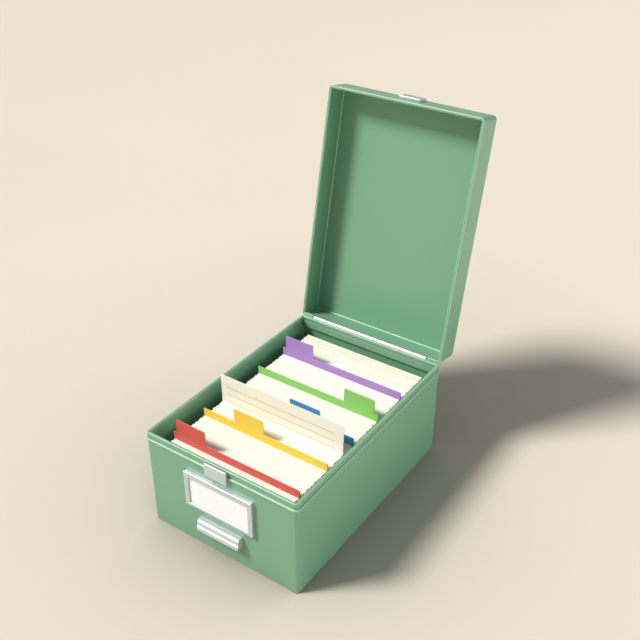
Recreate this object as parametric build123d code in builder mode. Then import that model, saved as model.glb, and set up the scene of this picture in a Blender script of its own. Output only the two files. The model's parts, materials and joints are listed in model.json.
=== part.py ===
from build123d import *
import os
from math import cos, radians, sin

# A free-standing steel index card box. A green enamelled body with a rolled rim, a lid that stands open
# on one long hinge, bright fittings on the front, and a file of cards behind five tabbed dividers.
# Millimetres. X to the right, Y to the back, Z up. The origin is on the table under the box's middle.

# ---- cards and dividers
card_width = 127.0
card_height = 76.2
card_pitch = 2.0           # one group of cards to the next
card_gap = 0.2             # between neighbouring groups
card_jog = 0.5             # how far a group sits out of line, at most
jog_places = 5             # the places that the groups take in turn, from left to right
jog_stride = 3             # places passed from one group to the next
file_length = 208.2        # front of the foremost card to the back of the rearmost one
divider_margin = 0.7       # how far a divider is wider than the cards, on each side
divider_rise = 7.3         # how far a divider stands above the cards
divider_thickness = 0.8
front_stack = 16.0         # front of the file to the first divider
rear_stack = 40.2          # last divider to the back of the file
rearmost_stack = 15.8      # the last cards, which are of another stock
tab_width = 31.0
tab_height = 13.7
tab_margin = 3.55          # a divider's end to its nearest tab
tab_round = 1.0
tab_steps = 4              # tabs side by side before they start again on the left
slack = 0.2                # between a divider and the cards on either side
raised_before = 2          # the divider behind the card that is pulled up, counted from the front, from 0
raised_ahead = 14.2        # the card that is pulled up to the divider behind it
raised_by = 29.0
raised_thickness = 0.8

# ---- body
side_room = 12.5           # cards' ends to the outside of the side walls
headroom = 14.5            # tops of the cards to the top of the rim
file_clearance = 1.65      # inside of the front rim to the file
file_slack = 4.45          # back of the file to the inside of the rear rim
sheet = 1.0                # steel sheet of the body, the lid and the floor tray
corner_radius = 2.8        # upright corners, outside
bottom_radius = 1.2        # bend from the walls into the bottom, outside
rim_thickness = 2.6        # rolled rim of the body and of the lid, outside to inside
rim_drop = 4.0             # height of the rolled rim
rim_round = 1.0            # rounding of the rolled rim's edges
bead_drop = 6.8            # top of the rim to the middle of the bead
bead_width = 3.0
bead_stand = 1.5           # how far the bead stands out from the walls
bead_round = 1.3

# ---- floor tray
floor_top = 4.8            # table to the cards' lower edges
guide_rise = 9.2           # side guides above the tray's floor
guide_gap = 1.0            # between a divider and a guide
guide_width = 3.0
tray_clearance = 0.4       # tray's edges to the bends of the body's bottom

# ---- lid
lid_overhang = 0.5         # how far the lid is larger than the body, on each side
lid_gap = 0.3              # between the shut lid's edge and the rim
lid_depth = 25.6           # lid's edge to the outside of its panel
lid_round = 1.3            # bend from the skirt into the panel, outside
lid_open = 101.9           # degrees from shut to the pose that the lid stands in

# ---- hinge
hinge_behind = 1.25        # axis behind the body's rear wall
hinge_above = 1.0          # axis above the rim
hinge_inset = 14.0         # box's side to the end of the barrel
knuckle_count = 9          # five on the body's leaf and four on the lid's
knuckle_gap = 0.3          # between neighbouring knuckles
knuckle_clearance = 0.3    # round a knuckle, where another piece gives way to it
barrel_radius = 1.9
pin_radius = 1.0
pin_clearance = 0.05       # radial, pin in its knuckles
pin_stub = 0.4             # how far the pin stands out at each end
pin_chamfer = 0.2
leaf_thickness = 0.8
leaf_reach = 12.0          # axis to the far edge of a leaf
leaf_root = 1.2            # axis to the near edge of a leaf, inside the knuckle's wall
notch_end = 1.2            # free length past each end of the barrel
strip_inset = 4.0          # box's side to the end of the backing strip inside the rear wall
strip_height = 6.6
strip_thickness = 0.8

# ---- front fittings
plate_round = 0.6          # rounding of the bright plates' edges
catch_width = 21.8
catch_height = 12.5
catch_thickness = 2.3
catch_rise = 0.7           # how far the catch plate stands above the rim
catch_clearance = 0.1      # between the catch plate and the bead
catch_foot_width = 15.0
catch_foot_height = 2.4
thumb_width = 21.0         # plate on the lid's front
thumb_height = 13.0
thumb_thickness = 2.4
thumb_rise = 9.5           # lid's edge to the plate
holder_drop = 7.2          # catch plate's lower edge to the label holder
holder_width = 69.4
holder_height = 35.4
holder_stand = 3.4         # front of the holder to the wall
holder_face = 1.2          # thickness of the holder's face
holder_return = 1.0        # thickness of its bent edges
window_width = 60.8
window_height = 27.0
window_rise = 3.3          # holder's lower edge to the window
label_thickness = 0.5
label_clearance = 0.3
pull_drop = 8.9            # holder's lower edge to the finger pull
pull_width = 43.0
pull_height = 10.6
pull_ledge = 4.4           # depth of the pull's top
pull_belly = 6.9           # depth at its lower edge
pull_wall = 1.0
pull_ridges = 2
pull_ridge_radius = 2.2
pull_ridge_stand = 0.7     # how far a ridge stands out of the pull's face

# ---- worked out from the sizes above
box_width = card_width + 2 * side_room
box_depth = file_length + 2 * rim_thickness + file_clearance + file_slack
box_height = floor_top + card_height + headroom
front_face = -box_depth / 2
rear_face = box_depth / 2
bead_height = box_height - bead_drop
bead_reach = bead_stand + catch_clearance
hinge_length = box_width - 2 * hinge_inset
hinge_y = rear_face + hinge_behind
hinge_z = box_height + hinge_above
knuckle_pitch = hinge_length / knuckle_count
knuckle_length = knuckle_pitch - knuckle_gap
lid_width = box_width + 2 * lid_overhang
lid_length = box_depth + 2 * lid_overhang
lid_edge = lid_gap - hinge_above
lid_rear = lid_length / 2 - hinge_y
lid_front = -lid_length / 2 - hinge_y
catch_bottom = box_height + catch_rise - catch_height
holder_bottom = catch_bottom - holder_drop - holder_height
pull_top = holder_bottom - pull_drop
pull_bottom = pull_top - pull_height

# The lid is drawn shut, in a frame whose origin is the hinge axis, and that frame is tipped back.
tip = radians(lid_open)
lid_frame = Plane(origin=(0, hinge_y, hinge_z), x_dir=(1, 0, 0), z_dir=(0, sin(tip), cos(tip)))
lid_up = Axis(lid_frame.origin, lid_frame.z_dir)

os.makedirs("parts", exist_ok=True)


def save(piece, name):
    """Label a finished piece and write it under its node's name."""
    piece.label = name
    export_step(piece, f"parts/{name}.step")


def cross_plane(length):
    """The plane of a profile that runs along X for this length, centred on the box."""
    return Plane.YZ.offset(-length / 2)


# ---- body: drawn steel, walls and bottom in one, with a rolled rim and a bead round the outside
with BuildPart() as bead:
    with BuildSketch(Plane.XY.offset(bead_height - bead_width / 2)):
        RectangleRounded(box_width + 2 * bead_stand, box_depth + 2 * bead_stand, corner_radius + bead_stand)
    extrude(amount=bead_width)
    fillet(bead.faces().sort_by(Axis.Z)[0].edges(), radius=bead_round)
    fillet(bead.faces().sort_by(Axis.Z)[-1].edges(), radius=bead_round)
    with BuildSketch(Plane.XY):
        Rectangle(box_width - 2 * corner_radius, box_depth - 2 * corner_radius)
    extrude(amount=box_height, mode=Mode.SUBTRACT)

with BuildPart() as box_hollow:
    with BuildSketch(Plane.XY.offset(sheet)):
        RectangleRounded(box_width - 2 * sheet, box_depth - 2 * sheet, corner_radius - sheet)
    extrude(amount=box_height - sheet - rim_drop)
    fillet(box_hollow.faces().sort_by(Axis.Z)[0].edges(), radius=bottom_radius - sheet)

with BuildPart() as box_shell:
    with BuildSketch(Plane.XY):
        RectangleRounded(box_width, box_depth, corner_radius)
    extrude(amount=box_height)
    add(bead.part)
    fillet(box_shell.faces().sort_by(Axis.Z)[0].edges(), radius=bottom_radius)
    add(box_hollow.part, mode=Mode.SUBTRACT)
    with BuildSketch(Plane.XY.offset(box_height - rim_drop)):
        RectangleRounded(
            box_width - 2 * rim_thickness, box_depth - 2 * rim_thickness, corner_radius - rim_thickness
        )
    extrude(amount=rim_drop, mode=Mode.SUBTRACT)
    fillet(box_shell.faces().sort_by(Axis.Z)[-1].edges(), radius=rim_round)
    # the bead and the rim give way to the hinge
    with BuildSketch(Plane.XY.offset(bead_height - bead_width)):
        with Locations((0, rear_face + bead_stand)):
            Rectangle(hinge_length + 2 * notch_end, 2 * bead_stand)
    extrude(amount=2 * bead_width, mode=Mode.SUBTRACT)
    with BuildSketch(cross_plane(hinge_length + 2 * notch_end)):
        with Locations((hinge_y, hinge_z)):
            Circle(barrel_radius + knuckle_clearance)
    extrude(amount=hinge_length + 2 * notch_end, mode=Mode.SUBTRACT)

# ---- lid: the same sheet and the same rolled edge, drawn shut in the hinge's frame
with BuildPart() as lid_hollow:
    with BuildSketch(lid_frame.offset(lid_edge + rim_drop)):
        with Locations((0, -hinge_y)):
            RectangleRounded(
                lid_width - 2 * sheet, lid_length - 2 * sheet, corner_radius + lid_overhang - sheet
            )
    extrude(amount=lid_depth - rim_drop - sheet)
    fillet(lid_hollow.faces().sort_by(lid_up)[-1].edges(), radius=lid_round - sheet)

with BuildPart() as lid_shell:
    with BuildSketch(lid_frame.offset(lid_edge)):
        with Locations((0, -hinge_y)):
            RectangleRounded(lid_width, lid_length, corner_radius + lid_overhang)
    extrude(amount=lid_depth)
    fillet(lid_shell.faces().sort_by(lid_up)[-1].edges(), radius=lid_round)
    add(lid_hollow.part, mode=Mode.SUBTRACT)
    with BuildSketch(lid_frame.offset(lid_edge)):
        with Locations((0, -hinge_y)):
            RectangleRounded(
                lid_width - 2 * rim_thickness,
                lid_length - 2 * rim_thickness,
                corner_radius + lid_overhang - rim_thickness,
            )
    extrude(amount=rim_drop, mode=Mode.SUBTRACT)
    fillet(lid_shell.faces().sort_by(lid_up)[0].edges(), radius=rim_round)
    with BuildSketch(cross_plane(hinge_length + 2 * notch_end)):
        with Locations((hinge_y, hinge_z)):
            Circle(barrel_radius + knuckle_clearance)
    extrude(amount=hinge_length + 2 * notch_end, mode=Mode.SUBTRACT)

# ---- hinge: a leaf on each outer face, their knuckles in turn along one pin
with BuildPart() as box_hinge_leaf:
    with BuildSketch(Plane.XY.offset(hinge_z - leaf_reach)):
        with Locations((0, rear_face + leaf_thickness / 2)):
            Rectangle(hinge_length, leaf_thickness)
    extrude(amount=leaf_reach - leaf_root)

with BuildPart() as lid_hinge_leaf:
    with BuildSketch(lid_frame.offset(leaf_root)):
        with Locations((0, lid_rear + leaf_thickness / 2)):
            Rectangle(hinge_length, leaf_thickness)
    extrude(amount=leaf_reach - leaf_root)

for leaf, first in ((box_hinge_leaf, 0), (lid_hinge_leaf, 1)):
    with leaf:
        for turn in range(knuckle_count):
            own = turn % 2 == first
            start = -hinge_length / 2 + turn * knuckle_pitch
            radius = barrel_radius if own else barrel_radius + knuckle_clearance
            length = knuckle_length if own else knuckle_pitch
            with BuildSketch(Plane.YZ.offset(start + (knuckle_pitch - length) / 2)):
                with Locations((hinge_y, hinge_z)):
                    Circle(radius)
            extrude(amount=length, mode=Mode.ADD if own else Mode.SUBTRACT)
        with BuildSketch(cross_plane(hinge_length)):
            with Locations((hinge_y, hinge_z)):
                Circle(pin_radius + pin_clearance)
        extrude(amount=hinge_length, mode=Mode.SUBTRACT)

with BuildPart() as hinge_pin:
    with BuildSketch(cross_plane(hinge_length + 2 * pin_stub)):
        with Locations((hinge_y, hinge_z)):
            Circle(pin_radius)
    extrude(amount=hinge_length + 2 * pin_stub)
    chamfer(hinge_pin.edges().filter_by(GeomType.CIRCLE), length=pin_chamfer)

with BuildPart() as hinge_backing_strip:
    with BuildSketch(Plane.XY.offset(box_height - rim_drop - strip_height)):
        with Locations((0, rear_face - sheet - strip_thickness / 2)):
            Rectangle(box_width - 2 * strip_inset, strip_thickness)
    extrude(amount=strip_height)

# ---- catch plate on the body: it bridges the bead on two feet and stands above the rim
with BuildPart() as front_catch:
    with BuildSketch(Plane.XY.offset(catch_bottom)):
        with Locations((0, front_face - bead_reach - catch_thickness / 2)):
            Rectangle(catch_width, catch_thickness)
    extrude(amount=catch_height)
    fillet(front_catch.faces().sort_by(Axis.Y)[0].edges(), radius=plate_round)
    for foot_middle in (
        bead_height - bead_width / 2 - catch_clearance - catch_foot_height / 2,
        bead_height + bead_width / 2 + catch_clearance + catch_foot_height / 2,
    ):
        with BuildSketch(Plane.XZ.offset(-front_face)):
            with Locations((0, foot_middle)):
                Rectangle(catch_foot_width, catch_foot_height)
        extrude(amount=bead_reach)

# ---- thumb plate on the lid's front skirt
with BuildPart() as lid_thumb_plate:
    with BuildSketch(lid_frame.offset(lid_edge + thumb_rise)):
        with Locations((0, lid_front - thumb_thickness / 2)):
            Rectangle(thumb_width, thumb_thickness)
    extrude(amount=thumb_height)
    front_of_lid = Axis(lid_frame.origin, -lid_frame.y_dir)
    fillet(lid_thumb_plate.faces().sort_by(front_of_lid)[-1].edges(), radius=plate_round)

# ---- label holder: a pressed face with a window, bent back to the wall above, below and on the right
with BuildPart() as label_holder:
    with BuildSketch(Plane.XZ.offset(-front_face)):
        with Locations((0, holder_bottom + holder_height / 2)):
            Rectangle(holder_width, holder_height)
    extrude(amount=holder_stand)
    outer_face = label_holder.faces().sort_by(Axis.Y)[0]
    fillet(outer_face.edges() + label_holder.edges().filter_by(Axis.Y), radius=plate_round)
    with BuildSketch(Plane.XZ.offset(-front_face)):
        with Locations((-holder_return / 2, holder_bottom + holder_height / 2)):
            Rectangle(holder_width - holder_return, holder_height - 2 * holder_return)
    extrude(amount=holder_stand - holder_face, mode=Mode.SUBTRACT)
    with BuildSketch(Plane.XZ.offset(-front_face)):
        with Locations((0, holder_bottom + window_rise + window_height / 2)):
            Rectangle(window_width, window_height)
    extrude(amount=holder_stand, mode=Mode.SUBTRACT)

with BuildPart() as label_card:
    with BuildSketch(Plane.XZ.offset(-front_face + holder_stand - holder_face - label_clearance)):
        with Locations((-holder_return / 2, holder_bottom + holder_height / 2)):
            Rectangle(
                holder_width - holder_return - 2 * label_clearance,
                holder_height - 2 * holder_return - 2 * label_clearance,
            )
    extrude(amount=-label_thickness)

# ---- finger pull: a hood with lengthwise ridges, open below for the fingertips
face_top = (front_face - pull_ledge, pull_top)
face_foot = (front_face - pull_belly, pull_bottom)
with BuildPart() as finger_pull:
    with BuildSketch(cross_plane(pull_width)) as hood:
        with BuildLine():
            Polyline((front_face, pull_bottom), (front_face, pull_top), face_top, face_foot, close=True)
        make_face()
        for ridge in range(pull_ridges):
            share = (ridge + 0.5) / pull_ridges
            with Locations(
                (
                    face_top[0] + share * (face_foot[0] - face_top[0]) + pull_ridge_radius - pull_ridge_stand,
                    face_top[1] + share * (face_foot[1] - face_top[1]),
                )
            ):
                Circle(pull_ridge_radius)
    extrude(amount=pull_width)
    with BuildSketch(cross_plane(pull_width - 2 * pull_wall)):
        with BuildLine():
            Polyline(
                (front_face, pull_bottom),
                (front_face, pull_top - pull_wall),
                (face_top[0] + pull_wall, pull_top - pull_wall),
                (face_foot[0] + pull_wall, pull_bottom),
                close=True,
            )
        make_face()
    extrude(amount=pull_width - 2 * pull_wall, mode=Mode.SUBTRACT)

# ---- floor tray: one bent sheet, a raised floor between two guides, with flanges on the bottom
divider_width = card_width + 2 * divider_margin
guide_inner = divider_width / 2 + guide_gap + sheet / 2
guide_outer = guide_inner + guide_width - sheet
guide_crest = floor_top + guide_rise - sheet / 2
floor_middle = floor_top - sheet / 2
flange_middle = sheet + sheet / 2
flange_end = box_width / 2 - bottom_radius - tray_clearance - sheet / 2
tray_length = box_depth - 2 * bottom_radius - 2 * tray_clearance
with BuildPart() as floor_tray:
    with BuildSketch(Plane.XZ.offset(-tray_length / 2)):
        with BuildLine():
            Polyline(
                (-flange_end, flange_middle),
                (-guide_outer, flange_middle),
                (-guide_outer, guide_crest),
                (-guide_inner, guide_crest),
                (-guide_inner, floor_middle),
                (guide_inner, floor_middle),
                (guide_inner, guide_crest),
                (guide_outer, guide_crest),
                (guide_outer, flange_middle),
                (flange_end, flange_middle),
            )
            offset(amount=sheet / 2, side=Side.BOTH, kind=Kind.INTERSECTION)
        make_face()
    extrude(amount=tray_length)

# ---- dividers: tabbed board, the tabs in four steps from left to right
divider_names = ("divider_red", "divider_yellow", "divider_blue", "divider_green", "divider_purple")
divider_height = card_height + divider_rise
file_front = front_face + rim_thickness + file_clearance
file_back = file_front + file_length
first_divider = file_front + front_stack
divider_pitch = (file_length - front_stack - rear_stack) / (len(divider_names) - 1)
divider_places = [first_divider + turn * divider_pitch for turn in range(len(divider_names))]
tab_pitch = (divider_width - 2 * tab_margin - tab_width) / (tab_steps - 1)
for turn, name in enumerate(divider_names):
    tab_middle = (turn % tab_steps - (tab_steps - 1) / 2) * tab_pitch
    with BuildPart() as divider:
        with BuildSketch(Plane.XZ.offset(-divider_places[turn] - divider_thickness / 2)):
            with Locations((0, floor_top + divider_height / 2)):
                Rectangle(divider_width, divider_height)
            with Locations((tab_middle, floor_top + divider_height + tab_height / 2)):
                tab = Rectangle(tab_width, tab_height)
            fillet(tab.vertices().group_by(Axis.Z)[-1], radius=tab_round)
        extrude(amount=divider_thickness)
    save(divider.part, name)

# ---- the card that is pulled up
raised_y = divider_places[raised_before] - raised_ahead
with BuildPart() as raised_card:
    with BuildSketch(Plane.XZ.offset(-raised_y - raised_thickness / 2)):
        with Locations((0, floor_top + raised_by + card_height / 2)):
            Rectangle(card_width, card_height)
    extrude(amount=raised_thickness)


# ---- card packs: groups of cards that stand between one divider and the next
def card_pack(start, end):
    """Groups of cards from start to end along Y, each a little out of line with the next."""
    count = int((end - start + card_gap) / card_pitch)
    pitch = (end - start + card_gap) / count
    with BuildPart() as pack:
        for turn in range(count):
            jog = card_jog * (2 * ((turn * jog_stride) % jog_places) / (jog_places - 1) - 1)
            with BuildSketch(Plane.XZ.offset(-start - turn * pitch)):
                with Locations((jog, floor_top + card_height / 2)):
                    Rectangle(card_width, card_height)
            extrude(amount=-(pitch - card_gap))
    return pack.part


rearmost_start = file_back - rearmost_stack
beside_divider = divider_thickness / 2 + slack
beside_raised = raised_thickness / 2 + slack
pack_spans = {
    "cards_front": (file_front, divider_places[0] - beside_divider),
    "cards_red": (divider_places[0] + beside_divider, divider_places[1] - beside_divider),
    "cards_yellow": (divider_places[1] + beside_divider, raised_y - beside_raised),
    "cards_raised": (raised_y + beside_raised, divider_places[raised_before] - beside_divider),
    "cards_blue": (divider_places[2] + beside_divider, divider_places[3] - beside_divider),
    "cards_green": (divider_places[3] + beside_divider, divider_places[4] - beside_divider),
    "cards_purple": (divider_places[4] + beside_divider, rearmost_start - slack),
    "cards_rear": (rearmost_start, file_back),
}
for name, (start, end) in pack_spans.items():
    save(card_pack(start, end), name)

save(box_shell.part, "box_shell")
save(lid_shell.part, "lid_shell")
save(box_hinge_leaf.part, "box_hinge_leaf")
save(lid_hinge_leaf.part, "lid_hinge_leaf")
save(hinge_pin.part, "hinge_pin")
save(hinge_backing_strip.part, "hinge_backing_strip")
save(front_catch.part, "front_catch")
save(lid_thumb_plate.part, "lid_thumb_plate")
save(label_holder.part, "label_holder")
save(label_card.part, "label_card")
save(finger_pull.part, "finger_pull")
save(floor_tray.part, "floor_tray")
save(raised_card.part, "raised_card")
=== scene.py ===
import json
from math import radians

import bpy
import numpy as np
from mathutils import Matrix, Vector


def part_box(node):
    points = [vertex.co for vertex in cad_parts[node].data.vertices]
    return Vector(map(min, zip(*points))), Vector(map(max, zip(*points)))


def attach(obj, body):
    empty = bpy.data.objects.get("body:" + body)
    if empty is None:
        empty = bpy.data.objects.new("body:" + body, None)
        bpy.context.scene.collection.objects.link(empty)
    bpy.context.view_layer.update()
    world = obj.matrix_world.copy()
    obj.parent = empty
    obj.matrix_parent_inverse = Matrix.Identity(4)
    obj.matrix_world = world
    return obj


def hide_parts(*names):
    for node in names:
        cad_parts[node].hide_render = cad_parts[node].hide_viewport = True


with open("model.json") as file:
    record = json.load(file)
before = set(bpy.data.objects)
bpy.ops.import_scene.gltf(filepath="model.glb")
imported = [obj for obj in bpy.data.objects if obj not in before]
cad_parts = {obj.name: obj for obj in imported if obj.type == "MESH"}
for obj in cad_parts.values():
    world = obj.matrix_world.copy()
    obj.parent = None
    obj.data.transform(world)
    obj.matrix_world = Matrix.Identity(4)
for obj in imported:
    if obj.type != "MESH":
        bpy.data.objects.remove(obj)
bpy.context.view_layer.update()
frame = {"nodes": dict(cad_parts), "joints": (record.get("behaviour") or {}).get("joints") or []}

# ---- The body -------------------------------------------------------------------------------------------
# One sheet of 1 mm steel drawn into an open box, its rim rolled over and a bead pressed round the outside.
# It is sprayed inside and out with satin enamel and baked. At the back the rim and the bead make room for
# the hinge.

MM = 0.001


def extent(node):
    """The lowest and the highest corner of a node, in millimetres."""
    return tuple(np.array(corner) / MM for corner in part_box(node))


def rounded(corners, radii, closed=True, steps=6):
    """A line through corners, each rounded by an arc. The arc's middle lies on the corner's bisector, where
    both sides are one radius away, and the arc's normal turns evenly from one side's normal to the next
    side's. Gives the points, the normals to the right of the line, and how rounded each point is: 0 where an
    arc meets a side, 1 in the middle of a convex arc, -1 in the middle of a hollow one."""
    corners = np.asarray(corners, float)
    leaving = np.roll(corners, -1, 0) - corners
    if not closed:
        leaving[-1] = leaving[-2]
    leaving /= np.linalg.norm(leaving, axis=1)[:, None]
    coming = np.roll(leaving, 1, 0)
    if not closed:
        coming[0] = leaving[0]
    before = np.stack([coming[:, 1], -coming[:, 0]], 1)
    after = np.stack([leaving[:, 1], -leaving[:, 0]], 1)
    turn = np.arctan2(coming[:, 0] * leaving[:, 1] - coming[:, 1] * leaving[:, 0], (coming * leaving).sum(1))
    radius = (np.asarray(radii, float) * np.sign(turn))[:, None]
    middle = corners - radius * (before + after) / (1 + (before * after).sum(1))[:, None]
    share = np.linspace(0, 1, steps + 1)
    angle = np.arctan2(before[:, 1], before[:, 0])[:, None] + turn[:, None] * share
    normals = np.stack([np.cos(angle), np.sin(angle)], 2)
    points = middle[:, None] + radius[:, None] * normals
    bend = np.sign(turn)[:, None] * np.sin(np.pi * share)
    straight = (np.abs(turn) < 1e-9)[:, None] & (share > 0)
    points, normals, bend = points[~straight], normals[~straight], bend[~straight]
    apart = np.linalg.norm(points - np.roll(points, 1, 0), axis=1) > 1e-7
    return points[apart], normals[apart], bend[apart]


def carried(outline, profile, place, wrapped=False):
    """A profile carried round an outline. A grid point is the outline's point, moved out along the outline's
    normal by the profile's first number and up by its second, and then put where the place's origin and
    three axes say. Its normal is the profile's normal, turned the same way. The profile's two ends are
    closed by flat faces, or joined to each other where it is wrapped."""
    around, outward, _ = outline
    across, lean, bend = profile
    origin, axes = place
    flat = around + outward * across[:, None, :1]
    rise = np.broadcast_to(across[:, None, 1:], flat.shape[:2] + (1,))
    tilt = np.broadcast_to(lean[:, None, 1:], rise.shape)
    grid = origin + np.concatenate([flat, rise], 2) @ axes
    normals = np.concatenate([outward * lean[:, None, :1], tilt], 2) @ axes
    rows, columns = grid.shape[:2]
    index = np.arange(rows * columns).reshape(rows, columns)
    lower = index if wrapped else index[:-1]
    upper = np.roll(index, -1, 0) if wrapped else index[1:]
    quads = np.stack([lower, np.roll(lower, -1, 1), np.roll(upper, -1, 1), upper], 2)
    ends = [] if wrapped else [index[0, ::-1].tolist(), index[-1].tolist()]
    return grid, normals, np.broadcast_to(bend[:, None], (rows, columns)), quads.reshape(-1, 4).tolist() + ends


def make_piece(name, surfaces, body, replaced, material):
    """One piece from one or more surfaces, with their own normals and an attribute that says how rounded the
    surface is. It rides on its body and stands for the nodes that it replaces."""
    points, normals, bends = (np.concatenate([surface[part].reshape(-1, width) for surface in surfaces])
                              for part, width in ((0, 3), (1, 3), (2, 1)))
    starts = np.cumsum([0] + [surface[0].reshape(-1, 3).shape[0] for surface in surfaces])
    faces = [[start + corner for corner in face]
             for start, surface in zip(starts.tolist(), surfaces) for face in surface[3]]
    mesh = bpy.data.meshes.new(name)
    mesh.from_pydata((points * MM).tolist(), [], faces)
    mesh.shade_smooth()
    mesh.normals_split_custom_set_from_vertices(normals.tolist())
    mesh.attributes.new("edge", "FLOAT", "POINT").data.foreach_set("value", bends.ravel().astype(np.float32))
    mesh.materials.append(material)
    piece = bpy.data.objects.new(name, mesh)
    bpy.context.scene.collection.objects.link(piece)
    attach(piece, body)
    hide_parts(*replaced)
    return piece


def linear(colour):
    """An sRGB hex colour as linear red, green, blue and alpha: below 0.04045 a channel is divided by 12.92,
    and above it 0.055 is added, the sum is divided by 1.055 and raised to 2.4."""
    channel = np.array([int(colour[i:i + 2], 16) for i in (0, 2, 4)]) / 255
    value = np.where(channel <= 0.04045, channel / 12.92, ((channel + 0.055) / 1.055) ** 2.4)
    return (*value.tolist(), 1.0)


def add_node(tree, kind, inputs=None, **settings):
    """Adds a node with its settings. An input that is a socket is linked, and any other is a constant."""
    made = tree.nodes.new("ShaderNode" + kind)
    for setting, value in settings.items():
        setattr(made, setting, value)
    for socket, value in (inputs or {}).items():
        if isinstance(value, bpy.types.NodeSocket):
            tree.links.new(value, made.inputs[socket])
        else:
            made.inputs[socket].default_value = value
    return made


def new_material(name, **constants):
    """A material with one principled shader on its output. The constants are set on the shader's sockets."""
    material = bpy.data.materials.new(name)
    material.use_nodes = True
    tree = material.node_tree
    tree.nodes.clear()
    sockets = {key.replace("_", " "): value for key, value in constants.items()}
    shader = add_node(tree, "BsdfPrincipled", sockets)
    add_node(tree, "OutputMaterial", {"Surface": shader.outputs["BSDF"]})
    return material, tree, shader


def baked_enamel():
    """Satin enamel, sprayed on steel and baked: an even colour with a faint orange peel. Rounded edges are
    painted lighter, a painted highlight, and hollow bends are painted darker, a painted shade."""
    peel_width = 2.5
    peel_depth = 0.02
    cloud_width = 45.0
    # how far rounded edges are painted lighter as a highlight, and hollow bends darker as shade
    enamel_edge_highlight = 0.75
    enamel_bend_shade = 0.35
    material, tree, shader = new_material("satin_baked_enamel", Coat_Weight=0.25, Coat_Roughness=0.18)
    place = add_node(tree, "TexCoord").outputs["Object"]
    edge = add_node(tree, "Attribute", attribute_name="edge").outputs["Fac"]
    cloud = add_node(tree, "TexNoise", {"Vector": place, "Scale": 1 / (cloud_width * MM), "Detail": 2.0})
    even = add_node(tree, "Mix", {0: cloud.outputs["Fac"], 6: linear("78AB89"), 7: linear("7CAE8C")},
                    data_type="RGBA")
    # the edge attribute mixes in a painted highlight on rounded edges and a painted shade in hollow bends
    highlight_share = add_node(tree, "MapRange", {"Value": edge, "To Max": enamel_edge_highlight})
    shade_share = add_node(tree, "MapRange", {"Value": edge, "From Max": -1.0, "To Max": enamel_bend_shade})
    highlighted_edges = add_node(tree, "Mix", {0: highlight_share.outputs["Result"], 6: even.outputs[2], 7: linear("B4DCBB")},
                          data_type="RGBA")
    shaded_bends = add_node(tree, "Mix", {0: shade_share.outputs["Result"], 6: highlighted_edges.outputs[2],
                                      7: linear("618B6E")}, data_type="RGBA")
    peel = add_node(tree, "TexNoise", {"Vector": place, "Scale": 1 / (peel_width * MM), "Detail": 1.0})
    gloss = add_node(tree, "MapRange", {"Value": cloud.outputs["Fac"], "To Min": 0.36, "To Max": 0.44})
    bump = add_node(tree, "Bump", {"Height": peel.outputs["Fac"], "Distance": peel_depth * MM, "Strength": 0.5})
    tree.links.new(shaded_bends.outputs[2], shader.inputs["Base Color"])
    tree.links.new(gloss.outputs["Result"], shader.inputs["Roughness"])
    tree.links.new(bump.outputs["Normal"], shader.inputs["Normal"])
    return material


sheet = 1.0
rim_thickness = 2.6
rim_height = 4.0
bead_stand = 1.5
bead_width = 3.0
bead_below_rim = 6.8
body_corner = 2.8
bottom_bend = 1.2
floor_bend = 0.6               # the bottom bend, seen from inside
bead_round = 1.3
bead_foot = 0.35               # where the bead leaves the wall
rim_round = 1.0
rim_end = 0.6                  # the rolled edge's end, inside
rim_step = 0.3                 # where the rolled edge's end meets the wall
notch_end = 1.2                # the notch for the hinge runs past the barrel by this much
notch_step = 0.3               # length of the slope at each end of the notch
barrel_room = 0.3              # round the hinge's barrel, where the sheet gives way to it

enamel = baked_enamel()
level = (np.zeros(3), np.eye(3))
body_low, body_high = extent("box_shell")
side = body_high[0] - bead_stand
front_wall = body_low[1] + bead_stand
rear_wall = body_high[1]       # the node's rearmost reach, bead included, so behind the solid's own wall
rim = body_high[2]
barrel_low, barrel_high = extent("box_hinge_leaf")
barrel_radius = (barrel_high[1] - barrel_low[1]) / 2
hinge = next(np.array(joint["pos_m"]) / MM for joint in frame["joints"] if joint["name"] == "lid_hinge")
notch = barrel_high[0] + notch_end


def notched_outline(half_width, near, far, corner, notched_at_far):
    """A rounded rectangle with two more points at each end of the hinge's notch, on its far or near side."""
    reach = np.array([notch + notch_step, notch, -notch, -notch - notch_step])
    ends = [(x, far) for x in reach] if notched_at_far else [(x, near) for x in -reach]
    near_side = [(-half_width, near), (half_width, near)]
    far_side = [(half_width, far), (-half_width, far)]
    notched_side = far_side if notched_at_far else near_side
    notched_side[1:1] = ends
    corners = near_side + far_side
    return rounded(corners, [corner if abs(x) == half_width else 0 for x, _ in corners])


def clear_of_barrel(grid, away):
    """Points inside the hinge's barrel and the gap round it slide in one direction until they are clear of it.
    By the sides of a right triangle, the way left to go is the root of the radius squared less the point's
    distance from the line through the axis squared."""
    offset = grid - hinge
    along = offset @ away
    beside_squared = (offset[..., 1:] ** 2).sum(-1) - along ** 2
    clear = np.sqrt(np.maximum((barrel_radius + barrel_room) ** 2 - beside_squared, 0))
    inside = (np.abs(along) < clear) & (np.abs(grid[..., 0]) <= notch + 1e-6)
    grid += (inside * (clear - along))[..., None] * away


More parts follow.
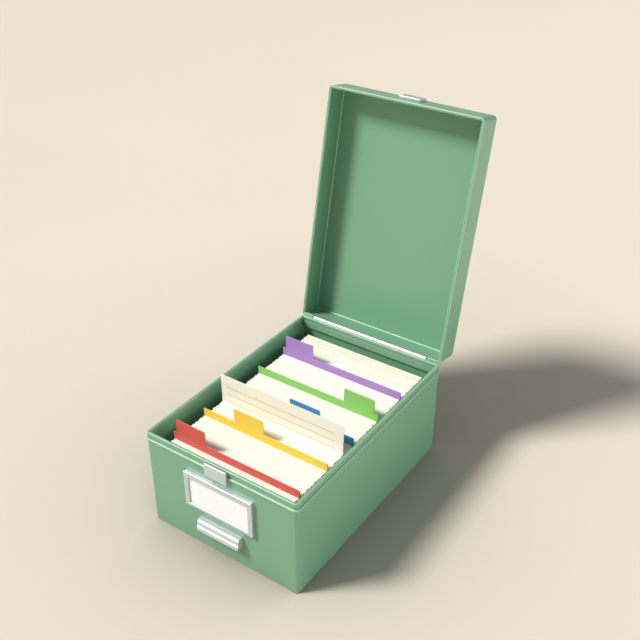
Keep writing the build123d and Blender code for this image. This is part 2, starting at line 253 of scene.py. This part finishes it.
bead = rim - bead_below_rim
body_profile = rounded(
    [(-2 * sheet, 0), (0, 0), (0, bead - bead_width / 2), (bead_stand, bead - bead_width / 2),
     (bead_stand, bead + bead_width / 2), (0, bead + bead_width / 2), (0, rim), (-rim_thickness, rim),
     (-rim_thickness, rim - rim_height), (-sheet, rim - rim_height), (-sheet, sheet), (-2 * sheet, sheet)],
    [0, bottom_bend, bead_foot, bead_round, bead_round, bead_foot, rim_round, rim_round, rim_end, rim_step,
     floor_bend, 0], closed=False)
body_outline = notched_outline(side, front_wall, rear_wall, body_corner, True)
body_grid, body_normals, body_bend, body_faces = carried(body_outline, body_profile, level)
at_notch = (np.abs(body_grid[..., 0]) <= notch + 1e-6) & (body_grid[..., 1] > rear_wall)
body_grid[..., 1] = np.where(at_notch, rear_wall, body_grid[..., 1])
body_normals[at_notch] = (0, 1, 0)
clear_of_barrel(body_grid, np.array([0, -1, 0]))
make_piece("body", [(body_grid, body_normals, body_bend, body_faces)], "box", ["box_shell"],
           enamel)

# ---- The lid --------------------------------------------------------------------------------------------
# The same sheet and the same enamel, drawn into a shallow tray with a rolled edge. It stands open, tipped
# back past upright, so everything on it is drawn in a frame that runs from the hinge up along the lid.

lid_overhang = 0.5
lid_gap = 0.3                  # between the shut lid's edge and the rim
lid_depth = 25.6
lid_corner = 3.3
lid_bend = 1.3
inner_bend = 1.2               # where the skirt turns into the panel, seen from inside

tip = np.radians(-min(joint["range_deg"][0] for joint in frame["joints"] if joint["name"] == "lid_hinge"))
along_lid = np.array([0, -np.cos(tip), np.sin(tip)])
out_of_lid = np.array([0, -np.sin(tip), -np.cos(tip)])
lid_place = (hinge, np.array([(1, 0, 0), along_lid, out_of_lid]))
lid_edge = hinge[2] - rim - lid_gap
lid_near = hinge[1] - rear_wall - lid_overhang
lid_far = lid_near + (rear_wall - front_wall) + 2 * lid_overhang
panel = lid_edge - lid_depth
beside_barrel = [(0, -share * (barrel_radius + barrel_room)) for share in (1.0, 0.8, 0.47)]
lid_profile = rounded(
    [(-3 * sheet, panel), (0, panel), *beside_barrel, (0, lid_edge), (-rim_thickness, lid_edge),
     (-rim_thickness, lid_edge - rim_height), (-sheet, lid_edge - rim_height), (-sheet, panel + sheet),
     (-3 * sheet, panel + sheet)],
    [0, lid_bend, 0, 0, 0, rim_round, rim_round, rim_end, rim_step, inner_bend, 0], closed=False)
lid_outline = notched_outline(side + lid_overhang, lid_near, lid_far, lid_corner, False)
# On the lid the hollow bends count as rounded too, so the enamel paints a lighter line in them: a painted
# highlight, not shade.
lid_surface = carried(lid_outline, (*lid_profile[:2], np.abs(lid_profile[2])), lid_place)
clear_of_barrel(lid_surface[0], along_lid)
make_piece("lid", [lid_surface], "lid", ["lid_shell"], enamel)

# ---- The hinge ------------------------------------------------------------------------------------------
# Two strips of nickel-plated steel, one spot-welded to each rear wall. Their edges are rolled in turn into
# knuckles round one pin, so that they make a single bright barrel behind the rim.


def nickel_plate(name, lustre, colour):
    """Nickel, plated on rolled steel: pale, with fine rolling lines along X and the soft blur of handling. Its
    rounded edges are painted brighter, a painted highlight. The lustre says how much it mirrors."""
    line_width = 0.35
    line_length = 18.0
    material, tree, shader = new_material(name, Metallic=lustre)
    place = add_node(tree, "TexCoord").outputs["Object"]
    edge = add_node(tree, "Attribute", attribute_name="edge").outputs["Fac"]
    across = 1 / (line_width * MM)
    stretch = add_node(tree, "Mapping", {"Vector": place, "Scale": (1 / (line_length * MM), across, across)})
    lines = add_node(tree, "TexNoise", {"Vector": stretch.outputs["Vector"], "Scale": 1.0, "Detail": 2.0})
    # painted highlight: rounded edges mix towards near white
    nickel_highlight_share = add_node(tree, "MapRange", {"Value": edge, "To Max": 1.0})
    tone = add_node(tree, "Mix", {0: nickel_highlight_share.outputs["Result"], 6: linear(colour), 7: linear("F8FBFA")},
                    data_type="RGBA")
    blur = add_node(tree, "MapRange", {"Value": lines.outputs["Fac"], "To Min": 0.38, "To Max": 0.5})
    bump = add_node(tree, "Bump", {"Height": lines.outputs["Fac"], "Distance": 0.004 * MM, "Strength": 0.4})
    tree.links.new(tone.outputs[2], shader.inputs["Base Color"])
    tree.links.new(blur.outputs["Result"], shader.inputs["Roughness"])
    tree.links.new(bump.outputs["Normal"], shader.inputs["Normal"])
    return material


def plate(corners, radii, thickness, edge_round, place):
    """A flat plate: an outline with rounded corners, and a profile that goes round both of its edges."""
    inset = 1.2 * edge_round
    profile = rounded([(-inset, 0), (0, 0), (0, thickness), (-inset, thickness)],
                      [0, edge_round, edge_round, 0], closed=False, steps=4)
    return carried(rounded(corners, radii), profile, place)


def rectangle(left, right, low, high):
    """The four corners of a rectangle, anticlockwise."""
    return [(left, low), (right, low), (right, high), (left, high)]


knuckle_count = 9
knuckle_gap = 0.3
pin_radius = 1.0
pin_room = 0.05
leaf_thickness = 0.8
leaf_reach = 12.0
leaf_root = 1.2
leaf_corner = 1.0
leaf_edge = 0.15
comb_round = 0.25
weld_count = 6
weld_inset = 8.0
weld_radius = 1.8
nickel = nickel_plate("satin_nickel_plated_steel", 0.6, "D6DFE1")
pale_nickel = nickel_plate("pale_nickel_plated_steel", 0.2, "F6F8F8")
barrel_end = barrel_high[0]
knuckle_pitch = 2 * barrel_end / knuckle_count
knuckle_length = knuckle_pitch - knuckle_gap
knuckle_wall = barrel_radius - pin_radius - pin_room
along_barrel = np.array([(0, 1, 0), (0, 0, 1), (1, 0, 0)])
circle = rounded(rectangle(-barrel_radius, barrel_radius, -barrel_radius, barrel_radius), [barrel_radius] * 4)
knuckle_profile = rounded(
    [(-knuckle_wall, 0), (0, 0), (0, knuckle_length), (-knuckle_wall, knuckle_length)], [0.1, 0.25, 0.25, 0.1],
    steps=3)
weld_rim = rounded(rectangle(-weld_radius, weld_radius, -weld_radius, weld_radius), [weld_radius] * 4, steps=5)
weld_profile = rounded([(0, -0.1), (-0.1, 0.05), (-0.5, 0.14), (-0.9, 0.03), (-1.4, 0.03)],
                       [0, 0.05, 0.3, 0.3, 0], closed=False, steps=3)


def hinge_leaf(first, origin, axes):
    """A leaf's strip, its spot welds and its knuckles. The strip lies in a frame that runs along the barrel
    and away from it. Its outline steps up to each of its own knuckles and stays clear of the others."""
    comb = []
    knuckles = []
    for turn in range(knuckle_count):
        start = -barrel_end + turn * knuckle_pitch
        own = turn % 2 == first
        gap = knuckle_gap / 2 if own else -knuckle_gap / 2
        left = start + gap if turn > 0 else -barrel_end
        right = start + knuckle_pitch - gap if turn < knuckle_count - 1 else barrel_end
        root = leaf_root if own else barrel_radius + barrel_room
        comb += [(left, root), (right, root)]
        if own:
            knuckle_start = hinge + (start + knuckle_gap / 2, 0, 0)
            knuckles.append(carried(circle, knuckle_profile, (knuckle_start, along_barrel)))
    strip = comb + [(barrel_end, leaf_reach), (-barrel_end, leaf_reach)]
    strip_radii = [comb_round] * len(comb) + [leaf_corner, leaf_corner]
    surfaces = [plate(strip, strip_radii, leaf_thickness, leaf_edge, (origin, axes))]
    for weld in np.linspace(-1, 1, weld_count) * (barrel_end - weld_inset):
        middle = origin + (weld, (leaf_root + leaf_reach) / 2 + 1, leaf_thickness) @ axes
        surfaces.append(carried(weld_rim, weld_profile, (middle, axes)))
    return surfaces + knuckles


box_strip = hinge_leaf(0, np.array([0, rear_wall, hinge[2]]), np.array([(1, 0, 0), (0, 0, -1), (0, 1, 0)]))
lid_strip = hinge_leaf(1, hinge + along_lid * lid_near, np.array([(-1, 0, 0), -out_of_lid, -along_lid]))
make_piece("hinge_leaf_on_body", box_strip, "box", ["box_hinge_leaf"], pale_nickel)
make_piece("hinge_leaf_on_lid", lid_strip, "lid", ["lid_hinge_leaf"], pale_nickel)
frame["nodes"]["hinge_pin"].data.materials.clear()
frame["nodes"]["hinge_pin"].data.materials.append(pale_nickel)

# ---- The strip inside the rear wall -----------------------------------------------------------------------
# A flat bar of steel that the hinge is welded through to. It is sprayed and baked with the body, in the same
# satin enamel, and its lower edge shows as a line under the rim.


def facing_front(y):
    """A place whose plane runs to the right and up, and whose pieces grow towards the front from this y."""
    return np.array([0, y, 0]), np.array([(1, 0, 0), (0, 0, 1), (0, -1, 0)])


bar_corner = 0.8
bar_edge = 0.2
bar_low, bar_high = extent("hinge_backing_strip")
bar = plate(rectangle(bar_low[0], bar_high[0], bar_low[2], bar_high[2]), [bar_corner] * 4,
            bar_high[1] - bar_low[1], bar_edge, facing_front(bar_high[1]))
make_piece("backing_strip", [bar], "box", ["hinge_backing_strip"], enamel)

# ---- The catch plate and the thumb plate ------------------------------------------------------------------
# Two pressed steel plates, nickel-plated. The one on the body bridges the bead on two feet and stands above
# the rim, and the one on the lid gives the thumb its hold.

plate_corner = 0.9
plate_edge = 0.6
foot_half_width = 7.5
foot_height = 2.4
foot_corner = 0.3
foot_edge = 0.2
foot_clearance = 0.1
catch_low, catch_high = extent("front_catch")
foot_depth = bead_stand + foot_clearance
catch_back = front_wall - foot_depth
catch = [plate(rectangle(catch_low[0], catch_high[0], catch_low[2], catch_high[2]), [plate_corner] * 4,
               catch_back - catch_low[1], plate_edge, facing_front(catch_back))]
for foot_side in (-1, 1):
    foot = bead + foot_side * (bead_width / 2 + foot_clearance + foot_height / 2)
    foot_outline = rectangle(-foot_half_width, foot_half_width, foot - foot_height / 2, foot + foot_height / 2)
    catch.append(plate(foot_outline, [foot_corner] * 4, foot_depth, foot_edge, facing_front(front_wall)))
make_piece("catch_plate", catch, "box", ["front_catch"], nickel)

thumb_half_width = 10.5
thumb_rise = 9.5
thumb_height = 13.0
thumb_thickness = 2.4
thumb_low = lid_edge - thumb_rise
thumb_place = (hinge + along_lid * lid_far, np.array([out_of_lid, (1, 0, 0), along_lid]))
thumb = plate(rectangle(thumb_low - thumb_height, thumb_low, -thumb_half_width, thumb_half_width),
              [plate_corner] * 4, thumb_thickness, plate_edge, thumb_place)
make_piece("thumb_plate", [thumb], "lid", ["lid_thumb_plate"], nickel)

# ---- The label holder and its label -----------------------------------------------------------------------
# A frame pressed from thin steel and nickel-plated, bent back to the wall above, below and on the right. A
# white card slides in from its open left end.

holder_face = 1.2
holder_return = 1.0
holder_corner = 0.6
window_width = 60.8
window_height = 27.0
window_rise = 3.3
open_end = 1.0                 # length at the left end without a bent edge
end_step = 0.05
holder_low, holder_high = extent("label_holder")
holder_stand = front_wall - holder_low[1]
face_back = holder_stand - holder_face


def slotted_rectangle(left, right, low, high, corner):
    """A rounded rectangle with two more points at the left end of each long side, where the bent edge ends."""
    edged_tone = left + open_end
    corners = [(edged_tone, low), (right, low), (right, high), (edged_tone, high), (edged_tone - end_step, high), (left, high),
               (left, low), (edged_tone - end_step, low)]
    return rounded(corners, [0, corner, corner, 0, 0, corner, corner, 0])


window_low = holder_low[2] + window_rise
holder_rim = slotted_rectangle(holder_low[0], holder_high[0], holder_low[2], holder_high[2], holder_corner)
window = slotted_rectangle(-window_width / 2, window_width / 2, window_low, window_low + window_height,
                           holder_corner)
border = (holder_high[0] - holder_low[0] - window_width) / 2
across, lean, bend = rounded(
    [(0, 0), (0, holder_stand), (-border, holder_stand), (-border, face_back), (-holder_return, face_back),
     (-holder_return, 0)], [0.15, 0.6, 0.35, 0.15, 0.3, 0.15])
at_window = across[:, :1] < -border / 2
around = np.where(at_window[..., None], window[0], holder_rim[0])
across = across + at_window * (border, 0)
holder_grid, holder_normals, holder_bend, holder_faces = carried(
    (around, holder_rim[1], None), (across, lean, bend), facing_front(front_wall), wrapped=True)
at_open_end = holder_grid[..., 0] < holder_low[0] + open_end - end_step / 2
holder_grid[..., 1] = np.where(at_open_end, np.minimum(holder_grid[..., 1], front_wall - face_back),
                               holder_grid[..., 1])
make_piece("label_frame", [(holder_grid, holder_normals, holder_bend, holder_faces)], "box",
           ["label_holder"], nickel)


def card_stock(name, colour, shade):
    """Smooth index card: calendered paper, matt, with a faint cloud of fibres. Each card in a stack is a
    little lighter or darker than the next, from its own attribute."""
    fibre = 0.5
    material, tree, shader = new_material(name, Roughness=0.72, Specular_IOR_Level=0.3)
    place = add_node(tree, "TexCoord").outputs["Object"]
    card = add_node(tree, "Attribute", attribute_name="tone").outputs["Fac"]
    cloud = add_node(tree, "TexNoise", {"Vector": place, "Scale": 1 / (fibre * MM), "Detail": 3.0})
    amount = add_node(tree, "Math", {0: cloud.outputs["Fac"], 1: card}, operation="MULTIPLY")
    tone = add_node(tree, "Mix", {0: amount.outputs[0], 6: linear(colour), 7: linear(shade)}, data_type="RGBA")
    bump = add_node(tree, "Bump", {"Height": cloud.outputs["Fac"], "Distance": 0.01 * MM, "Strength": 0.3})
    tree.links.new(tone.outputs[2], shader.inputs["Base Color"])
    tree.links.new(bump.outputs["Normal"], shader.inputs["Normal"])
    return material, tree, shader, place, tone


label_corner = 0.3
label_edge = 0.12
label_low, label_high = extent("label_card")
label = plate(rectangle(label_low[0], label_high[0], label_low[2], label_high[2]), [label_corner] * 4,
              label_high[1] - label_low[1], label_edge, facing_front(label_high[1]))
make_piece("label", [label], "label_card", ["label_card"],
           card_stock("white_label_card", "FFFFFF", "F8F8F6")[0])

# ---- The finger pull --------------------------------------------------------------------------------------
# A hood rolled from nickel-plated steel, with a ledge on top and two ridges along its face. Its ends are
# closed, and it is open below, where the fingertips hook in.

pull_wall = 1.0
pull_ledge = 4.4               # how far the ledge stands out from the wall, and the belly below it
pull_belly = 6.9
ridge_stand = 0.85
valley_depth = 0.2
ridge_round = 0.8
ledge_round = 0.45
hood_round = 0.4
end_round = 0.25
end_inset = 1.2 * end_round
pull_low, pull_high = extent("finger_pull")
pull_half = pull_high[0]
pull_height = pull_high[2] - pull_low[2]
inner_end = pull_half - pull_wall


def on_face(share, stand):
    """A point on the pull's sloping face: this share of the way down it, and so far out from it."""
    return pull_ledge + share * (pull_belly - pull_ledge) + stand, pull_height * (1 - share)


face = [on_face(share, stand) for share, stand in
        ((1.0, 0), (0.92, ridge_stand), (0.66, ridge_stand), (0.54, -valley_depth), (0.42, ridge_stand),
         (0.16, ridge_stand), (0.08, 0))]
face_radii = [0.25, ridge_round, ridge_round, 0.4, ridge_round, ridge_round, 0.3]
ledge = [(pull_ledge + 0.2, pull_height), (0, pull_height)]
hollow = [(0, pull_height - pull_wall), (pull_ledge - pull_wall, pull_height - pull_wall),
          (pull_belly - pull_wall, 0)]
hood_profile = rounded([(-end_inset, 0), (0, 0), (0, 2 * inner_end), (-end_inset, 2 * inner_end)],
                       [0, 0.05, 0.05, 0], closed=False, steps=2)
cheek_profile = rounded([(-end_inset, 0), (0, 0), (0, pull_wall), (-end_inset, pull_wall)],
                        [0, 0.05, end_round, 0], closed=False, steps=4)
hood_outline = rounded(face + ledge + hollow, face_radii + [ledge_round] + [hood_round] * 4)
cheek_outline = rounded(face + ledge + [(0, 0)], face_radii + [ledge_round] + [hood_round] * 2)
leftward = np.array([(0, -1, 0), (0, 0, 1), (-1, 0, 0)])
pull_foot = np.array([0, front_wall, pull_low[2]])
hood = carried(hood_outline, hood_profile, (pull_foot + (inner_end, 0, 0), leftward))
left_cheek = carried(cheek_outline, cheek_profile, (pull_foot - (inner_end, 0, 0), leftward))
mirrored = left_cheek[0] * (-1, 1, 1)
right_cheek = (mirrored, left_cheek[1] * (-1, 1, 1), left_cheek[2], [quad[::-1] for quad in left_cheek[3]])
make_piece("pull", [hood, left_cheek, right_cheek], "box", ["finger_pull"],
           nickel_plate("handled_nickel_plated_steel", 0.35, "D0D8DA"))

# ---- The floor tray ---------------------------------------------------------------------------------------
# One bent sheet of steel under the cards, a raised floor between two low guides, in the body's enamel. The
# cards hide nearly all of it, so the solid itself is shown.

frame["nodes"]["floor_tray"].data.materials.clear()
frame["nodes"]["floor_tray"].data.materials.append(enamel)

# ---- The dividers -----------------------------------------------------------------------------------------
# Five sheets of pressed board, dyed through, each with a tab that is cut with it. The tabs step from left to
# right, and the last one starts again on the left.


def dyed_board(name, colour, shade):
    """Pressed board, dyed in the pulp: matt, with short fibres that show lighter and darker. Its rounded
    edges are mixed a quarter of the way towards white.
    """
    fibre_length = 1.4
    fibre_width = 0.3
    material, tree, shader = new_material(name, Roughness=0.62, Specular_IOR_Level=0.35)
    place = add_node(tree, "TexCoord").outputs["Object"]
    edge = add_node(tree, "Attribute", attribute_name="edge").outputs["Fac"]
    paler_edges = 0.25
    across = 1 / (fibre_width * MM)
    stretch = add_node(tree, "Mapping", {"Vector": place, "Scale": (1 / (fibre_length * MM), across, across)})
    fibres = add_node(tree, "TexNoise", {"Vector": stretch.outputs["Vector"], "Scale": 1.0, "Detail": 2.0})
    tone = add_node(tree, "Mix", {0: fibres.outputs["Fac"], 6: linear(shade), 7: linear(colour)},
                    data_type="RGBA")
    # rounded edges are mixed a quarter of the way towards white
    towards_white = add_node(tree, "MapRange", {"Value": edge, "To Max": paler_edges})
    edged_tone = add_node(tree, "Mix", {0: towards_white.outputs["Result"], 6: tone.outputs[2], 7: linear("FFFFFF")},
                   data_type="RGBA")
    bump = add_node(tree, "Bump", {"Height": fibres.outputs["Fac"], "Distance": 0.02 * MM, "Strength": 0.4})
    tree.links.new(edged_tone.outputs[2], shader.inputs["Base Color"])
    tree.links.new(bump.outputs["Normal"], shader.inputs["Normal"])
    return material


tab_width = 31.0
tab_height = 13.7
tab_margin = 3.55
tab_steps = 4
tab_corner = 1.2
tab_root = 0.3
board_corner = 0.6
board_edge = 0.15
board_radii = [board_corner] * 3 + [tab_root, tab_corner, tab_corner, tab_root, board_corner]
boards = {"red": ("F47164", "EA6356"), "yellow": ("FFE05A", "FBD54D"), "blue": ("5C9EDC", "5090D2"),
          "green": ("A1DC77", "93D069"), "purple": ("C197DC", "B58AD2")}
for turn, (colour, shades) in enumerate(boards.items()):
    low, high = extent("divider_" + colour)
    shoulder = high[2] - tab_height
    tab_travel = high[0] - low[0] - 2 * tab_margin - tab_width
    tab_left = low[0] + tab_margin + turn % tab_steps * tab_travel / (tab_steps - 1)
    tab_right = tab_left + tab_width
    outline = [(low[0], low[2]), (high[0], low[2]), (high[0], shoulder), (tab_right, shoulder),
               (tab_right, high[2]), (tab_left, high[2]), (tab_left, shoulder), (low[0], shoulder)]
    board = plate(outline, board_radii, high[1] - low[1], board_edge, facing_front(high[1]))
    make_piece(colour + "_divider", [board], "divider_" + colour, ["divider_" + colour],
               dyed_board("dyed_board_" + colour, *shades))

# ---- The cards --------------------------------------------------------------------------------------------
# Index cards of smooth stock, 127 by 76 mm, standing on their long edges between the dividers. They lie in
# small groups, with a groove between one group and the next, and no two cards are quite level.

group_pitch = 2.0
group_gap = 0.2
cards_in_group = 4             # each card is drawn about half as thick again as the real one
card_air = 0.02                # between one card and the next
card_corner = 0.25
card_edge = 0.06
top_spread = 0.5
jog_spread = 0.12
card_jog = 0.5
jog_places = 5
jog_stride = 3
stocks = {"cards_front": ("FBFFF6", "F2F5E8"), "cards_rear": ("FFFBEE", "F9F1DD")}
plain_stock = card_stock("smooth_card_white", "FFFFF5", "F8F7EA")[0]


def card_pack(node, seed, material):
    """The cards of one pack. Each is the same thin plate, moved to its place in its group, sideways with its
    group and a little more by chance, and down from the common top by chance, out of sight into the tray."""
    chance = np.random.default_rng(seed)
    low, high = extent(node)
    groups = int((high[1] - low[1] + group_gap) / group_pitch + 0.01)
    pitch = (high[1] - low[1] + group_gap) / groups
    spacing = (pitch - group_gap) / cards_in_group
    group = np.repeat(np.arange(groups), cards_in_group)
    place_in_group = np.tile(np.arange(cards_in_group), groups)
    sideways = card_jog * (2 * (group * jog_stride % jog_places) / (jog_places - 1) - 1)
    sideways = sideways + chance.uniform(-jog_spread, jog_spread, group.size)
    down = -chance.uniform(0, top_spread, group.size)
    back = low[1] + group * pitch + (place_in_group + 1) * spacing
    tone = chance.uniform(0, 1, group.size)
    half = (high[0] - low[0]) / 2 - card_jog
    card = plate(rectangle(-half, half, low[2], high[2]), [card_corner] * 4, spacing - card_air, card_edge,
                 facing_front(0))
    moves = np.stack([sideways, back, down], 1)
    surfaces = [(card[0] + move, card[1], card[2], card[3]) for move in moves]
    piece = make_piece(node + "_stack", surfaces, node,
                       [node], material)
    tones = np.repeat(tone, card[0][..., 0].size).astype(np.float32)
    piece.data.attributes.new("tone", "FLOAT", "POINT").data.foreach_set("value", tones)


for seed, node in enumerate(sorted(name for name in frame["nodes"] if name.startswith("cards_"))):
    stock = card_stock("smooth_" + node, *stocks[node])[0] if node in stocks else plain_stock
    card_pack(node, seed, stock)

# ---- The card that is pulled up ---------------------------------------------------------------------------
# A cream index card of the same smooth stock, printed with three plain rules. Its neighbours hold it, so that
# it stands 29 mm out of the file.

rule_count = 3
rule_width = 0.45
rule_pitch = 7.7
first_rule = 11.0              # below the card's top
rule_left = 6.0
rule_right = 8.0
above_tray = 0.05              # so that the card, pushed right down, doesn't cut into the tray
cream_corner = 0.4
cream_edge = 0.15
cream, tree, shader, place, tone = card_stock("ruled_cream_card", "FFFDF0", "F9F3E2")
raised_low, raised_high = extent("raised_card")
axes_of = add_node(tree, "SeparateXYZ", {"Vector": place})
after_left = add_node(tree, "Math", {0: axes_of.outputs["X"], 1: (raised_low[0] + rule_left) * MM},
                      operation="GREATER_THAN")
before_right = add_node(tree, "Math", {0: axes_of.outputs["X"], 1: (raised_high[0] - rule_right) * MM},
                        operation="LESS_THAN")
printed = add_node(tree, "Math", {0: after_left.outputs[0], 1: before_right.outputs[0]}, operation="MULTIPLY")
inked = tone.outputs[2]
for turn in range(rule_count):
    height = (raised_high[2] - first_rule - turn * rule_pitch) * MM
    on_rule = add_node(tree, "Math", {0: axes_of.outputs["Z"], 1: height, 2: rule_width / 2 * MM},
                       operation="COMPARE")
    rule = add_node(tree, "Math", {0: on_rule.outputs[0], 1: printed.outputs[0]}, operation="MULTIPLY")
    inked = add_node(tree, "Mix", {0: rule.outputs[0], 6: inked, 7: linear("A79A80")},
                     data_type="RGBA").outputs[2]
tree.links.new(inked, shader.inputs["Base Color"])
raised = plate(rectangle(raised_low[0], raised_high[0], raised_low[2] + above_tray, raised_high[2]),
               [cream_corner] * 4, raised_high[1] - raised_low[1], cream_edge, facing_front(raised_high[1]))
make_piece("pulled_up_card", [raised], "raised_card", ["raised_card"], cream)

# ---- The table --------------------------------------------------------------------------------------------
# A plain pale table top in matt paint, not part of the object and large enough to fill the view. Near
# whatever stands on it a painted shadow darkens its paint a little, where the lamps alone leave the shadow too
# weak.

table_half = 6.0
contact_reach = 0.4
table = bpy.data.meshes.new("table")
table.from_pydata([(-table_half, -table_half, 0), (table_half, -table_half, 0), (table_half, table_half, 0),
                   (-table_half, table_half, 0)], [], [(0, 1, 2, 3)])
table_paint, tree, shader = new_material("matt_table", Roughness=0.9, Specular_IOR_Level=0.2)
grain = add_node(tree, "TexNoise", {"Vector": add_node(tree, "TexCoord").outputs["Object"], "Scale": 3.0})
cream_tone = add_node(tree, "Mix", {0: grain.outputs["Fac"], 6: linear("F0E5D3"), 7: linear("F2E8D6")},
                      data_type="RGBA")
# painted shadow: the paint darkens where nearby things block the sky
open_sky = add_node(tree, "AmbientOcclusion", {"Distance": contact_reach}, samples=12)
painted_contact_shadow = add_node(tree, "Mix", {0: open_sky.outputs["AO"], 6: linear("625D56"), 7: cream_tone.outputs[2]},
                    data_type="RGBA")
tree.links.new(painted_contact_shadow.outputs[2], shader.inputs["Base Color"])
table.materials.append(table_paint)
table_top = bpy.data.objects.new("table", table)
bpy.context.scene.collection.objects.link(table_top)

# ---- The light --------------------------------------------------------------------------------------------
# A broad window to the left and above, and a pale room that is lighter near the horizon than overhead. Two
# weak lamps on the right stand for light from the room's far side. Light linking keeps the low one off the
# table, where it would draw a second shadow. The camera sees the room as one plain far wall.

sun = bpy.data.lights.new("window", "SUN")
sun.energy = 3.2
sun.angle = radians(15)
sun.color = (1.0, 0.99, 0.975)
window_light = bpy.data.objects.new("window", sun)
window_light.rotation_euler = Vector((0.64, 0.61, -1.0)).to_track_quat("-Z", "Y").to_euler()
bpy.context.scene.collection.objects.link(window_light)


def square_lamp(name, power, size, colour, spot):
    """A square lamp at a spot, turned towards the object."""
    lamp = bpy.data.lights.new(name, "AREA")
    lamp.energy = power
    lamp.size = size
    lamp.color = colour
    placed = bpy.data.objects.new(name, lamp)
    placed.location = spot
    placed.rotation_euler = (-Vector(spot)).to_track_quat("-Z", "Y").to_euler()
    bpy.context.scene.collection.objects.link(placed)
    return placed


square_lamp("behind_right", 4.0, 1.5, (0.96, 0.98, 1.0), (1.2, 1.6, 1.6))
low_right = square_lamp("low_right", 15.5, 0.8, (0.94, 1.0, 1.0), (2.0, 0.15, 0.2))
not_the_table = bpy.data.collections.new("not_the_table")
not_the_table.objects.link(table_top)
not_the_table.collection_objects[0].light_linking.link_state = "EXCLUDE"
low_right.light_linking.receiver_collection = not_the_table

room = bpy.data.worlds.new("pale_room")
room.use_nodes = True
tree = room.node_tree
tree.nodes.clear()
sight = add_node(tree, "TexCoord").outputs["Generated"]
height = add_node(tree, "SeparateXYZ", {"Vector": sight}).outputs["Z"]
climb = add_node(tree, "MapRange", {"Value": height, "From Min": 0.05, "From Max": 0.7},
                 interpolation_type="SMOOTHSTEP")
glow = add_node(tree, "Mix", {0: climb.outputs["Result"], 6: linear("FFFCF8"), 7: linear("A0A2A4")},
                data_type="RGBA")
sky = add_node(tree, "Background", {"Color": glow.outputs[2], "Strength": 0.45})
far_wall = add_node(tree, "Background", {"Color": linear("F2E8D5"), "Strength": 1.0})
seen = add_node(tree, "LightPath").outputs["Is Camera Ray"]
view = add_node(tree, "MixShader", {0: seen, 1: sky.outputs["Background"], 2: far_wall.outputs["Background"]})
add_node(tree, "OutputWorld", {"Surface": view.outputs["Shader"]})
bpy.context.scene.world = room
bpy.context.scene.view_settings.view_transform = "Standard"

# ---- The camera -------------------------------------------------------------------------------------------
# Above and to the right of the front, with the view of the reference picture. The place, the turn and the
# lens are those of a camera fitted to the picture's straight edges.

look_down = 32.15
look_left = 34.633
camera = bpy.data.cameras.new("camera")
camera.lens = 52.29
camera.sensor_width = 36.0
viewer = bpy.data.objects.new("camera", camera)
viewer.location = (0.37865, -0.51748, 0.57614)
viewer.rotation_euler = (radians(90 - look_down), 0, radians(look_left))
bpy.context.scene.collection.objects.link(viewer)
bpy.context.scene.camera = viewer
